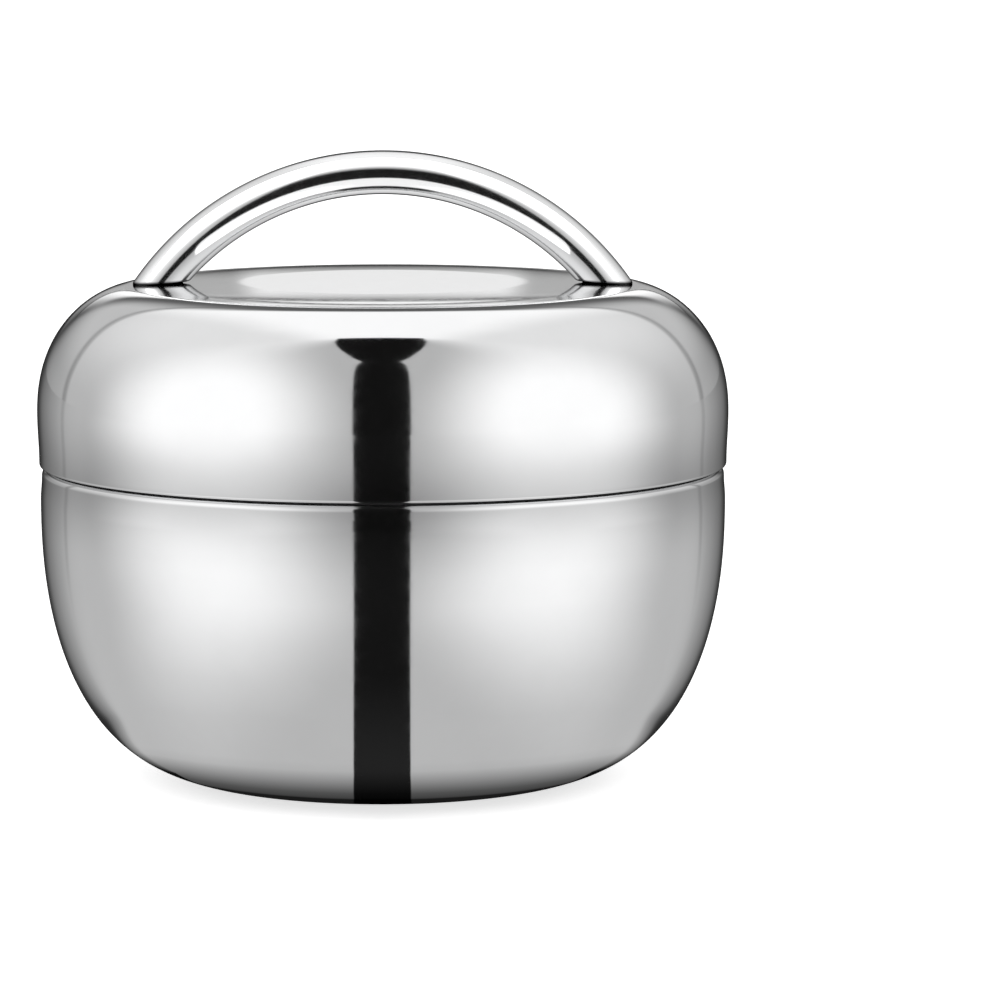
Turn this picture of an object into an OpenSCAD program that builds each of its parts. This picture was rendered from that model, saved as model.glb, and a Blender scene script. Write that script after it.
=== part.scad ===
// Round stainless steel lunch box: a polished double-walled body, a domed lid with an arched tube
// handle, and a removable food bowl with its own lid inside.
// Millimetres, +Z up. The origin is the centre of the base, on the surface that the box stands on.
// The handle's arch lies in the XZ plane.

/* [Body shell] */
// Greatest width of the body
body_d = 138.8; // [125:0.2:160]
// Height of the body's rim above the base
body_h = 64.5; // [55:0.5:80]
// How far below the rim the body is widest
belly_drop = 6.6; // [4:0.2:10]
// How far the rim stands in from the widest place, on each side
rim_neck = 0.26; // [0.1:0.02:1]
// Width of the flat base
base_d = 40; // [34:1:60]
// Roundness of the body's lower half across, 2 for an ellipse
body_round_across = 3.1; // [2:0.1:4]
// Roundness of the body's lower half upwards, 2 for an ellipse
body_round_up = 2.25; // [1.8:0.05:2.6]
// Width of the flat ring that the box stands on
base_ring_w = 5; // [3:0.5:8]
// Width of the slope between that ring and the shallow hollow inside it
base_hollow_slope = 4; // [2:0.5:6]
// Depth of the hollow in the base
base_hollow_h = 0.8; // [0.4:0.1:2]

/* [Lid shell] */
// How far the lid stands out past the body, on each side
lid_overhang = 0.6; // [0:0.1:2]
// Height of the lid from its lower edge to the outer edge of the land that carries the handle
lid_h = 36.3; // [30:0.1:50]
// How far above its lower edge the lid is widest
lid_belly_rise = 10.7; // [6:0.1:14]
// How far the lower edge stands in from the widest place, on each side
lid_edge_in = 0.35; // [0.1:0.05:1]
// Width of the shoulder between the land and the widest place, on each side
shoulder_w = 19; // [16:0.1:24]
// Roundness of the lid's shoulder across, 2 for an ellipse
lid_round_across = 1.76; // [1.5:0.02:2.4]
// Roundness of the lid's shoulder upwards, 2 for an ellipse
lid_round_up = 2.23; // [1.8:0.01:2.6]
// Width of the flat crown in the middle of the lid's top
crown_d = 58; // [40:1:66]
// Height of the crown above the outer edge of the land, which slopes down all round it
crown_h = 0.6; // [0.2:0.1:1.5]
// Width of the soft bend between the crown and the land
crown_bend = 2; // [1:0.5:4]
// Open seam between the body's rim and the lid's edge
seam_gap = 0.4; // [0.3:0.05:1]

/* [Sheet steel] */
// Thickness of both polished shells
shell_t = 0.6; // [0.4:0.05:1]
// Radius of the rolled edges at the seam
roll_r = 1.5; // [1:0.1:2]
// Width of the lip that the body's rim turns in
body_lip = 3; // [2:0.1:4]
// Width of the lip that the lid's edge turns in
lid_lip = 0.4; // [0.2:0.1:0.8]

/* [Handle] */
// Diameter of the handle's tube
tube_d = 8.9; // [7:0.1:11]
// Wall of the handle's tube
tube_t = 0.8; // [0.5:0.1:1.2]
// Height of the top of the handle above the outer edge of the land
handle_rise = 27.15; // [20:0.05:40]
// How far the middle of each foot stands in from the outer edge of the land
foot_in = 5.6; // [5.5:0.05:10]
// Height of the plug in each end of the tube
plug_h = 10; // [8:0.5:14]

/* [Handle screws] */
// Wall that the plug would keep around a screw on its own middle line
plug_wall = 1.85; // [1.6:0.05:2.4]
// How far the screw reaches up into the plug
screw_grip = 4; // [3:0.2:4.4]
// Diameter of the screw's head
head_d = 7.2; // [6:0.2:8]
// Height of the screw's head
head_h = 2.4; // [2:0.1:3]
// Width across the corners of the socket in the head
socket_d = 3.4; // [2.4:0.1:4]
// Depth of that socket
socket_h = 1.4; // [0.8:0.1:1.6]
// Diameter of the flat washer
washer_d = 11; // [9:0.2:12]
// Thickness of the flat washer
washer_t = 1; // [0.6:0.1:1.6]
// Diameter of the spring lock ring
lock_ring_d = 6.8; // [6:0.1:7.2]
// Thickness of the spring lock ring
lock_ring_t = 0.9; // [0.6:0.1:1.2]
// Width of the split in the spring lock ring
lock_ring_split = 0.8; // [0.4:0.1:1.2]

/* [Rim collar] */
// Wall of the collar
collar_wall = 1.4; // [1:0.1:2]
// Thickness of the collar's flange on the body's lip
collar_flange_t = 1; // [0.8:0.1:1.6]
// Height of the collar's upstand above the body's rim
collar_rise = 6; // [5:0.2:9]
// Depth of the collar's skirt below the body's rim
collar_skirt = 6; // [4:0.2:8]
// Width of the inner ledge that carries the liner
ledge_w = 2; // [1.6:0.1:3]
// Thickness of that ledge
ledge_t = 1.6; // [1.2:0.1:2.4]
// Width of the collar's gasket
gasket_w = 1.2; // [0.8:0.1:1.6]
// Height of the collar's gasket
gasket_h = 0.5; // [0.3:0.05:0.6]

/* [Liners and foam] */
// Wall of the body's plastic liner
liner_t = 1.2; // [0.8:0.1:1.6]
// Wall of the lid's plastic liner
lid_liner_t = 1.2; // [0.8:0.1:1.6]
// Width of the flange on which the lid's liner sits in the lid
lid_liner_flange = 1; // [0.5:0.1:1.2]
// Thickness of the foam under the body's liner
foam_under = 5; // [3:0.5:8]
// Thickness of the foam between the lid's land and its liner
foam_over = 9.2; // [8:0.2:14]
// Half the width of the flat ceiling in the lid's liner
ceiling_r = 36; // [28:1:42]
// Roundness of the lid liner's shoulder across, 2 for an ellipse
ceiling_round_across = 2.4; // [2:0.1:3]
// Roundness of the lid liner's shoulder upwards, 2 for an ellipse
ceiling_round_up = 2.1; // [1.8:0.05:2.4]
// Height of the straight part of the lid liner's skirt
lid_skirt = 9; // [7:0.5:12]
// Height of the lid's seal
lid_seal_h = 2.6; // [1.6:0.2:4]
// Width of the lid's seal
lid_seal_w = 1.2; // [0.8:0.1:1.6]
// Number of lips on the lid's seal
lid_seal_lips = 2; // [1:1:3]

/* [Food bowl] */
// Wall of the bowl
bowl_t = 0.5; // [0.4:0.05:0.8]
// Width of the bowl's flat floor
bowl_base_d = 48; // [40:1:60]
// Height of the bowl's straight neck below its flange
bowl_neck = 16; // [10:1:24]
// Roundness of the bowl across, 2 for an ellipse
bowl_round_across = 2.8; // [2:0.1:3.4]
// Roundness of the bowl upwards, 2 for an ellipse
bowl_round_up = 2.2; // [1.8:0.05:2.6]
// Radius of the bead around the bowl's rim
bead_r = 0.8; // [0.6:0.05:1.2]
// Room between the bowl and the liner all round
bowl_room = 0.8; // [0.5:0.1:1.6]

/* [Bowl lid] */
// Thickness of the bowl lid's plate
plate_t = 1.5; // [1:0.1:2.5]
// Wall of its skirt
skirt_t = 1.4; // [1:0.1:2]
// Depth of its skirt below the plate
skirt_h = 6.4; // [5:0.2:9]
// Height of its silicone seal
bowl_seal_h = 2.4; // [1.6:0.1:3]
// Width of its silicone seal
bowl_seal_w = 1.6; // [1:0.1:2]
// Height of the ribs on its plate
rib_h = 1.2; // [0.6:0.1:2]
// Width of the ribs on its plate
rib_w = 1.6; // [1:0.1:3]
// Distance from the outer rib on its plate in to the skirt's outside
rib_in = 9.7; // [4:0.1:16]
// Number of spokes between the vent's rib and the outer rib
spokes = 6; // [3:1:10]

/* [Vent plug] */
// Diameter of the hole in the bowl lid
vent_hole_d = 6.6; // [5:0.2:8]
// Diameter of the plug's cap
cap_d = 14; // [11:0.5:18]
// Thickness of the plug's cap
cap_h = 1.8; // [1.2:0.1:2.4]
// How far the plug can be pulled up
vent_travel = 3; // [2:0.2:4]
// How far the plug's barb stands out past the hole, on each side
barb_over = 0.7; // [0.4:0.1:1]
// Height of the plug's barb
barb_h = 1.6; // [1:0.1:2.4]
// Length of the tab on the plug's cap
tab_l = 5; // [3:0.5:8]
// Width of that tab
tab_w = 5; // [3:0.5:7]

/* [Clearances] */
// Room between pieces that slide past each other or rest on each other
run_gap = 0.3; // [0.2:0.05:0.4]
// Room around a screw or plug that fits in another piece
fit_gap = 0.1; // [0.05:0.01:0.2]
// Room between the foam and the walls around it
foam_gap = 0.3; // [0.2:0.05:0.4]
// Room under a screw head in its pocket in the foam
pocket_gap = 0.6; // [0.4:0.1:1]

/* [Hidden] */
$fn = 128;
// Steps along a quarter of a drawn shell, along a softer inner form and along a rolled edge
shell_steps = 26;
form_steps = 16;
roll_steps = 5;
// Overrun of every cut past the face that it opens
over = 1;
// Two points closer than this are one point
same_point = 0.001;

// Body, from the outside in
body_r = body_d / 2;
belly_z = body_h - belly_drop;
rim_r = body_r - rim_neck;
lip_r = rim_r - roll_r - body_lip;
base_hollow_r = base_d / 2 - base_ring_w;
// Collar and gasket
flange_r = rim_r - roll_r - run_gap;
collar_top = body_h + collar_rise;
flange_top = body_h + collar_flange_t;
// Lid, from the outside in
lid_r = body_r + lid_overhang;
lid_z = body_h + seam_gap;
land_r = lid_r - shoulder_w;
land_z = lid_z + lid_h;
foot_r = land_r - foot_in;
crown_r = crown_d / 2;
crown_z = land_z + crown_h;
crown_out_r = crown_r + crown_bend / 2;
lid_belly_z = lid_z + lid_belly_rise;
lid_edge_r = lid_r - lid_edge_in;
lid_lip_r = lid_edge_r - roll_r - lid_lip;
// Lid liner's skirt, its seal and the collar's upstand inside them
lid_skirt_r = lid_lip_r - run_gap;
lid_bore_r = lid_skirt_r - lid_liner_t;
upstand_r = lid_bore_r - lid_seal_w - run_gap;
collar_r = upstand_r - collar_wall;
lid_liner_z = lid_z + shell_t + run_gap;
lid_seal_z = (flange_top + run_gap + collar_top - lid_seal_h) / 2;
ceiling_z = land_z - shell_t - foam_over - lid_liner_t;
// Body liner, bowl and bowl lid inside the collar
ledge_r = collar_r - ledge_w;
liner_r = ledge_r - run_gap;
bowl_r = liner_r - liner_t - bowl_room;
liner_top = flange_top + run_gap + liner_t;
liner_z = base_hollow_h + shell_t + foam_under;
bowl_z = liner_z + liner_t + bowl_room;
bead_out_r = collar_r - 2 * run_gap;
bead_z = liner_top + run_gap + bead_r;
bowl_top = bead_z + bead_r;
neck_z = bowl_top - bowl_neck;
plate_z = bowl_top + run_gap;
plate_top = plate_z + plate_t;
rib_top = plate_top + rib_h;
bowl_seal_r = bowl_r - bowl_t - run_gap;
skirt_r = bowl_seal_r - bowl_seal_w;
skirt_z = plate_z - skirt_h;
rib_r = skirt_r - rib_in;
bowl_seal_z = skirt_z + skirt_t;
// Handle: an arc through the two feet and the top of the tube's middle line
tube_r = tube_d / 2;
arc_rise = handle_rise - tube_r;
arc_r = (pow(foot_r, 2) + pow(arc_rise, 2)) / (2 * arc_rise);
arc_z = land_z + arc_rise - arc_r;
// Screws: upright, across the tube's middle line halfway up their grip, from the shell's inner face down
plug_r = tube_r - tube_t - fit_gap;
screw_r = plug_r - plug_wall;
screw_x = sqrt(pow(arc_r, 2) - pow(land_z + screw_grip / 2 - arc_z, 2));
screw_hole_r = screw_r + fit_gap;
washer_z = land_z - shell_t - run_gap - washer_t;
lock_ring_z = washer_z - lock_ring_t;
head_z = lock_ring_z - head_h;
pocket_r = washer_d / 2 + pocket_gap;
vent_hole_r = vent_hole_d / 2;
vent_rib_r = cap_d / 2 + tab_l + run_gap;

// A quarter of a superellipse from a flat place at radius r0 and height z0 to an upright place at
// radius r1 and height z1.
function shoulder(r0, z0, r1, z1, across, up, steps) =
    [for (i = [0 : steps])
        let (a = 90 * (1 - i / steps))
        [r0 + (r1 - r0) * pow(cos(a), 2 / across), z1 + (z0 - z1) * pow(sin(a), 2 / up)]];

// A soft bend from [r0, z0], where the line is upright, to [r1, z1].
function neck(r0, z0, r1, z1, steps) =
    [for (i = [0 : steps])
        let (t = i / steps)
        [r0 + (r1 - r0) * (1 - cos(180 * t)) / 2, z0 + (z1 - z0) * t]];

// A soft bend from p to q, for two straight lines that meet at the corner c.
function bend(p, c, q, steps) =
    [for (i = [0 : steps])
        let (t = i / steps)
        p * pow(1 - t, 2) + c * 2 * t * (1 - t) + q * pow(t, 2)];

// A slope from one flat place to another, with soft ends.
function slope(r0, z0, r1, z1, steps) =
    [for (i = [0 : steps])
        let (t = i / steps)
        [r0 + (r1 - r0) * t, z0 + (z1 - z0) * (1 - cos(180 * t)) / 2]];

// A rolled edge from upright at radius r to flat at height z, inwards. way is 1 at the top of a
// wall and -1 at its bottom.
function roll(r, z, way) =
    [for (i = [0 : roll_steps])
        let (a = 90 * i / roll_steps)
        [r - roll_r + roll_r * cos(a), z - way * roll_r + way * roll_r * sin(a)]];

// The points of a line without those that repeat the one before.
function apart(p) =
    [for (i = [0 : len(p) - 1])
        if (i == 0 || norm(p[i] - p[max(i - 1, 0)]) > same_point) p[i]];

function reversed(p) = [for (i = [len(p) - 1 : -1 : 0]) p[i]];

// The direction of a line at its point i.
function heading(p, i) =
    let (step = p[min(i + 1, len(p) - 1)] - p[max(i - 1, 0)])
    step / norm(step);

// The line that runs beside p at distance d, on the right of its way for a positive d.
function beside(p, d) =
    [for (i = [0 : len(p) - 1])
        let (h = heading(p, i))
        [max(p[i][0] + d * h[1], 0), p[i][1] - d * h[0]]];

// A wall of even thickness, turned about the axis: it lies between the line and the one beside it.
module turned_wall(line, d) {
    rotate_extrude()
        polygon(concat(line, reversed(beside(line, d))));
}

// The rectangular section of a ring.
module section(r_in, r_out, z0, z1) {
    translate([r_in, z0])
        square([r_out - r_in, z1 - z0]);
}

module ring(r_in, r_out, z0, z1) {
    rotate_extrude()
        section(r_in, r_out, z0, z1);
}

// Everything inside a line that starts and ends on the axis.
module turned_solid(line) {
    rotate_extrude()
        polygon(line);
}

module at_screws() {
    for (side = [0, 180])
        rotate(side)
            translate([screw_x, 0, 0])
                children();
}

body_line = apart(concat(
    [[0, base_hollow_h]],
    slope(base_hollow_r - base_hollow_slope, base_hollow_h, base_hollow_r, 0, roll_steps),
    shoulder(base_d / 2, 0, body_r, belly_z, body_round_across, body_round_up, shell_steps),
    neck(body_r, belly_z, rim_r, body_h - roll_r, roll_steps),
    roll(rim_r, body_h, 1),
    [[lip_r, body_h]]));

// The middle of the lid's top, from the axis out to the edge of the land.
crown_line = concat(
    [[0, crown_z]],
    bend([crown_r - crown_bend / 2, crown_z], [crown_r, crown_z],
        [crown_out_r, crown_z - crown_h * (crown_out_r - crown_r) / (land_r - crown_r)], roll_steps),
    [[land_r, land_z]]);

lid_line = apart(concat(
    crown_line,
    shoulder(land_r, land_z, lid_r, lid_belly_z, lid_round_across, lid_round_up, shell_steps),
    neck(lid_r, lid_belly_z, lid_edge_r, lid_z + roll_r, roll_steps),
    roll(lid_edge_r, lid_z, -1),
    [[lid_lip_r, lid_z]]));

// The bowl's outside, from the middle of its floor up to its flange.
bowl_line = apart(concat(
    [[0, bowl_z]],
    shoulder(bowl_base_d / 2, bowl_z, bowl_r, neck_z, bowl_round_across, bowl_round_up, form_steps),
    [[bowl_r, bowl_top - bowl_t]]));

// The same form grown outwards by d and cut off at height z.
function around_bowl(d, z) =
    concat([for (p = beside(bowl_line, d)) if (p[1] < neck_z) p], [[bowl_r + d, z]]);

// The inside of the lid's liner, from the middle of its ceiling down to the end of its skirt.
lid_liner_line = apart(concat(
    [[0, ceiling_z]],
    shoulder(ceiling_r, ceiling_z, lid_bore_r, lid_liner_z + lid_skirt,
        ceiling_round_across, ceiling_round_up, form_steps),
    [[lid_bore_r, lid_liner_z]]));

module body_shell() {
    color("silver")
        turned_wall(body_line, -shell_t);
}

module body_insulation() {
    top_z = body_h - collar_skirt - foam_gap;
    color("lightyellow")
        difference() {
            turned_solid(concat(
                [for (p = beside(body_line, -shell_t - foam_gap)) if (p[1] < top_z) p],
                [[body_r - shell_t - foam_gap - rim_neck, top_z], [0, top_z]]));
            turned_solid(concat(around_bowl(bowl_room + liner_t + foam_gap, top_z + over),
                [[0, top_z + over]]));
        }
}

module body_liner() {
    flange_z = liner_top - liner_t;
    color("whitesmoke")
        difference() {
            union() {
                turned_solid(concat(around_bowl(bowl_room + liner_t, liner_top), [[0, liner_top]]));
                ring(liner_r - liner_t, collar_r - run_gap, flange_z, liner_top);
            }
            turned_solid(concat(around_bowl(bowl_room, liner_top + over), [[0, liner_top + over]]));
        }
}

module rim_collar() {
    color("dimgray")
        difference() {
            rotate_extrude() {
                section(collar_r, upstand_r, body_h, collar_top);
                section(collar_r, flange_r, body_h, flange_top);
                section(ledge_r, lip_r - run_gap, flange_top - ledge_t, flange_top);
                section(collar_r, lip_r - run_gap, body_h - collar_skirt, flange_top);
            }
            gasket_space(fit_gap);
        }
}

// The groove under the collar's flange, with room all round the gasket.
module gasket_space(room) {
    middle_r = (lip_r + flange_r) / 2;
    half_w = gasket_w / 2 + room;
    ring(middle_r - half_w, middle_r + half_w, body_h - room, body_h + gasket_h + room);
}

module collar_gasket() {
    color("black")
        gasket_space(0);
}

module inner_bowl() {
    bead_mid_r = bead_out_r - bead_r;
    color("gainsboro")
        rotate_extrude() {
            polygon(concat(
                bowl_line,
                [[bead_mid_r, bowl_top - bowl_t],
                    [bead_mid_r, bowl_top],
                    [bowl_r - bowl_t, bowl_top]],
                reversed(beside(bowl_line, -bowl_t))));
            translate([bead_mid_r, bead_z])
                circle(bead_r);
        }
}

module inner_lid() {
    color("aliceblue")
        difference() {
            union() {
                rotate_extrude() {
                    section(0, bead_out_r, plate_z, plate_top);
                    section(skirt_r - skirt_t, skirt_r, skirt_z, plate_top);
                    section(skirt_r - skirt_t, bowl_seal_r - run_gap, skirt_z, bowl_seal_z);
                    section(bead_out_r - rib_w, bead_out_r, plate_z, rib_top);
                    section(rib_r - rib_w, rib_r, plate_z, rib_top);
                    section(vent_rib_r, vent_rib_r + rib_w, plate_z, rib_top);
                }
                for (i = [0 : spokes - 1])
                    rotate(360 * i / spokes)
                        translate([vent_rib_r + rib_w / 2, -rib_w / 2, plate_z])
                            cube([rib_r - vent_rib_r - rib_w, rib_w, rib_top - plate_z]);
            }
            translate([0, 0, plate_z - over])
                cylinder(h = plate_t + 2 * over, r = vent_hole_r);
        }
}

module inner_lid_seal() {
    color("white")
        rotate_extrude()
            polygon([
                [skirt_r, bowl_seal_z],
                [skirt_r + bowl_seal_w / 2, bowl_seal_z],
                [bowl_seal_r, bowl_seal_z + bowl_seal_h / 2],
                [skirt_r + bowl_seal_w / 2, bowl_seal_z + bowl_seal_h],
                [skirt_r, bowl_seal_z + bowl_seal_h]]);
}

module vent_plug() {
    cap_z = plate_top + run_gap;
    barb_top = plate_z - vent_travel - run_gap;
    stem_r = vent_hole_r - run_gap;
    color("lightblue") {
        rotate_extrude()
            polygon([
                [0, cap_z + cap_h],
                [cap_d / 2 - cap_h / 2, cap_z + cap_h],
                [cap_d / 2, cap_z + cap_h / 2],
                [cap_d / 2, cap_z],
                [stem_r, cap_z],
                [stem_r, barb_top],
                [vent_hole_r + barb_over, barb_top],
                [stem_r, barb_top - barb_h],
                [0, barb_top - barb_h]]);
        translate([0, -tab_w / 2, cap_z])
            cube([cap_d / 2 + tab_l - tab_w / 2, tab_w, cap_h / 2]);
        translate([cap_d / 2 + tab_l - tab_w / 2, 0, cap_z])
            cylinder(h = cap_h / 2, r = tab_w / 2);
    }
}

module lid_shell() {
    color("silver")
        difference() {
            turned_wall(lid_line, shell_t);
            at_screws()
                translate([0, 0, land_z - shell_t - over])
                    cylinder(h = shell_t + 2 * over, r = screw_hole_r);
        }
}

module lid_insulation() {
    bottom_z = lid_liner_z + lid_liner_t + foam_gap;
    outside = [for (p = beside(lid_line, shell_t + foam_gap)) if (p[1] > bottom_z) p];
    inside = [for (p = beside(lid_liner_line, -lid_liner_t - foam_gap)) if (p[1] > bottom_z) p];
    color("lightyellow")
        difference() {
            turned_solid(concat(
                outside,
                [[lid_r - shell_t - foam_gap - lid_edge_in, bottom_z],
                    [lid_skirt_r + foam_gap, bottom_z]],
                reversed(inside)));
            at_screws()
                translate([0, 0, head_z - pocket_gap])
                    cylinder(h = land_z - head_z + pocket_gap, r = pocket_r);
        }
}

module lid_liner() {
    flange_out_r = lid_skirt_r + lid_liner_flange;
    color("whitesmoke")
        rotate_extrude() {
            polygon(concat(lid_liner_line, reversed(beside(lid_liner_line, -lid_liner_t))));
            section(lid_bore_r, flange_out_r, lid_liner_z, lid_liner_z + lid_liner_t);
        }
}

module lid_seal() {
    lip_h = lid_seal_h / lid_seal_lips;
    color("white")
        rotate_extrude() {
            translate([lid_bore_r - lid_seal_w / 2, lid_seal_z])
                square([lid_seal_w / 2, lid_seal_h]);
            for (i = [0 : lid_seal_lips - 1])
                polygon([
                    [lid_bore_r - lid_seal_w / 2 + fit_gap, lid_seal_z + i * lip_h],
                    [lid_bore_r - lid_seal_w / 2 + fit_gap, lid_seal_z + (i + 1) * lip_h],
                    [lid_bore_r - lid_seal_w, lid_seal_z + i * lip_h]]);
        }
}

// A round bar along the handle's arc, which runs on past both feet.
module arc_bar(r) {
    translate([0, 0, arc_z])
        rotate([90, 0, 0])
            rotate_extrude(angle = 180)
                translate([arc_r, 0])
                    circle(r);
}

// Everything under the lid's top that the handle's arc reaches, down past both of its ends.
module under_lid() {
    under_r = arc_r + tube_d;
    under_z = arc_z - tube_d;
    turned_solid(concat(crown_line, [[under_r, land_z], [under_r, under_z], [0, under_z]]));
}

module handle_tube() {
    color("silver")
        difference() {
            arc_bar(tube_r);
            arc_bar(tube_r - tube_t);
            under_lid();
        }
}

module handle_plugs() {
    color("gray")
        difference() {
            arc_bar(plug_r);
            under_lid();
            translate([-arc_r, -tube_r, land_z + plug_h])
                cube([2 * arc_r, tube_d, handle_rise]);
            at_screws()
                translate([0, 0, land_z - over])
                    cylinder(h = screw_grip + fit_gap + over, r = screw_hole_r);
        }
}

module handle_washers() {
    color("lightgray")
        at_screws()
            ring(screw_hole_r, washer_d / 2, washer_z, washer_z + washer_t);
}

module handle_lock_rings() {
    color("darkgray")
        at_screws()
            difference() {
                ring(screw_hole_r, lock_ring_d / 2, lock_ring_z, lock_ring_z + lock_ring_t);
                translate([0, -lock_ring_split / 2, lock_ring_z - over])
                    cube([lock_ring_d, lock_ring_split, lock_ring_t + 2 * over]);
            }
}

module handle_screws() {
    color("lightgray")
        at_screws()
            difference() {
                union() {
                    translate([0, 0, head_z])
                        cylinder(h = head_h, r = head_d / 2);
                    translate([0, 0, head_z])
                        cylinder(h = land_z + screw_grip - head_z, r = screw_r);
                }
                translate([0, 0, head_z - over])
                    cylinder(h = socket_h + over, r = socket_d / 2, $fn = 6);
            }
}

body_shell();
body_insulation();
body_liner();
rim_collar();
collar_gasket();
inner_bowl();
inner_lid();
inner_lid_seal();
vent_plug();
lid_shell();
lid_insulation();
lid_liner();
lid_seal();
handle_tube();
handle_plugs();
handle_washers();
handle_lock_rings();
handle_screws();
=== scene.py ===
import math

import bmesh
import bpy
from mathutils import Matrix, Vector


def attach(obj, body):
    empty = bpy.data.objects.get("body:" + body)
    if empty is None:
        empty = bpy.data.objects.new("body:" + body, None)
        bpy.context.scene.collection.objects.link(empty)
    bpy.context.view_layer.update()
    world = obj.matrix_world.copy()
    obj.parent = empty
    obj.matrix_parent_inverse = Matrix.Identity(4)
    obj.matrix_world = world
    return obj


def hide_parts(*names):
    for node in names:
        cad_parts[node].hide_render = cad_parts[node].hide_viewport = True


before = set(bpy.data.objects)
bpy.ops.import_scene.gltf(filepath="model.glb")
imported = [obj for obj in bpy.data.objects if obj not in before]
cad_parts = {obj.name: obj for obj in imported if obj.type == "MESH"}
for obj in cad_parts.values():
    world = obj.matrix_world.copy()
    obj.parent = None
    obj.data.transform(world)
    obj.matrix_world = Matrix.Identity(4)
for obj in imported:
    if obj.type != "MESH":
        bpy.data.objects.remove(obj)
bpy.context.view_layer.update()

# A round, mirror-polished stainless steel lunch box in a white studio. Six of the CAD nodes are
# replaced by finer meshes of the same shapes, and the others get materials. Lengths are in
# millimetres, as in the part's source, and become metres in mm(). The origin is the middle of the
# base, +Z is up, and the camera stands on the side of -Y.

MM_PER_M = 1000

# Sizes of the part, the same as in its source. BODY_ROUND, LID_ROUND, BOWL_ROUND and CEILING_ROUND
# are the two powers of a superelliptic shoulder, across and up.

# The body's shell, with the hollow in the middle of its base.
BODY_R = 69.4
BODY_H = 64.5
BELLY_Z = 57.9
RIM_R = 69.14
BASE_R = 20
BASE_HOLLOW_R = 15
BASE_HOLLOW_SLOPE = 4
BASE_HOLLOW_H = 0.8
BODY_ROUND = (3.1, 2.25)
BODY_LIP = 3

# The lid's shell. The land is the ring between its flat crown and its shoulder. It slopes down
# through points of (radius, height over LAND_Z), by LAND_FALL on average where the handle stands.
LID_R = 70
LID_Z = 64.9
LID_BELLY_Z = 75.6
LID_EDGE_R = 69.65
LID_ROUND = (1.76, 2.23)
LID_LIP = 0.4
LAND_Z = 101.2
LAND_R = 51
LAND_BENDS = [(40, 0.4), (46.5, 0.2), (51.3, -0.01)]
LAND_FALL = 0.036
CROWN_R = 29
CROWN_H = 0.6
CROWN_BEND = 2

# The thickness of both shells, and their rolled edges.
SHELL_T = 0.6
ROLL_R = 1.5
LID_ROLL_R = 0.6

# The handle: the arc that the tube follows, the tube, and the small rounding of its feet.
ARC_R = 56.75
ARC_Z = 67.15
TUBE_R = 4.45
TUBE_T = 0.8
FOOT_EDGE_R = 0.7

# The body's liner, and the bowl that hangs in it with its beaded rim.
LINER_T = 1.2
LINER_TOP = 67
LINER_R = 61.05
LINER_FLANGE_R = 63.05
BOWL_T = 0.5
BOWL_ROOM = 0.8
BOWL_R = 59.05
BOWL_Z = 8.4
BOWL_BASE_R = 24
BOWL_TOP = 68.9
BOWL_NECK_Z = 52.9
BOWL_ROUND = (2.8, 2.2)
BEAD_R = 0.8
BEAD_MIDDLE_R = 61.95
BEAD_STEPS = 28

# The lid's liner.
CEILING_Z = 90.2
CEILING_R = 36
CEILING_ROUND = (2.4, 2.1)
LID_BORE_R = 66.25
LID_LINER_Z = 65.8
LID_SKIRT = 9
LID_LINER_FLANGE = 1

# In the meshes, points nearer to each other than this are one point, those nearer to the axis are
# on it, and faces that meet at a smaller angle than this, in degrees, are shaded smooth.
SAME_POINT = 0.002
ON_AXIS = 0.01
SMOOTH_UNDER = 35

# The camera: its place, what it looks at, its lens, and how near and far it sees, in metres.
CAMERA_AT = (0, -1200, 201.6)
CAMERA_AIM = (23.9, 0, 57)
LENS = 213.7
SENSOR = 36
CLIP = (0.05, 60)

# The studio. The camera and what lets light through see a plain white room. The steel mirrors the
# brightness below instead: sky_glow() gives it by direction, as a unit vector from the part, and
# floor_glow() by place on the floor. "Round" is in degrees from the camera's side, the same to left
# and right, and "up" in degrees over the horizon. A pair is where something begins to change and
# where it has changed. Nearness, on the floor, is one over the distance from the axis.

# The plain wall all round, low down, and the brighter part overhead on the sides and behind.
WALL_GLOW = 0.45
OVERHEAD_GLOW = 0.75
OVERHEAD_ROUND = (45, 85)
OVERHEAD_UP = (0, 49)

# A soft white panel on either side: its middle, its spread round and up, and how it fades out.
PANEL_ROUND = 61
PANEL_UP = 8
PANEL_SPREAD = (37, 48)
PANEL_FADE = (0.45, 1.5)
# How far off its middle the floor mirrors it, by nearness, and how far round it turns there.
PANEL_ON_FLOOR = [(0, 0.17), (0.0028, 0.62), (0.005, 0.7), (0.0075, 0.92), (0.01, 1.1),
                  (0.013, 1.26), (0.03, 1.6)]
PANEL_TURN = 15
PANEL_TURN_NEAR = (0, 0.006)

# How much of the wall's light is left further round, where it is dark behind the part. Over that
# the wall is brighter, and past the corner this begins higher up.
BEHIND = [(0, 1), (112, 1), (126, 0.98), (134, 0.88), (144, 0.74), (152, 0.62), (158, 0.42),
          (164, 0.06), (180, 0.04)]
BEHIND_GLOW = 0.5
BEHIND_UP = (5, 22)
CORNER_ROUND = 160
CORNER_RISE = 0.8

# The thin dark join round the darker part behind: half its width, its height, the power of its
# rounding, its tone, and as shares of its size its edge and its line.
JOIN_ROUND = 48
JOIN_UP = 35
JOIN_BEND = 2.5
JOIN_TONE = 0.62
JOIN_EDGE = (0.985, 1.015)
JOIN_LINE = (0.01, 0.06)

# The white strip overhead, by its direction's parts aside and away from the camera. It narrows
# towards the camera.
STRIP_GLOW = 0.96
STRIP_SIDES = (0.18, 0.42)
STRIP_FRONT = (-0.08, 0)
STRIP_TAPER_FROM = 0.25
STRIP_TAPER = 0.3

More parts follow.
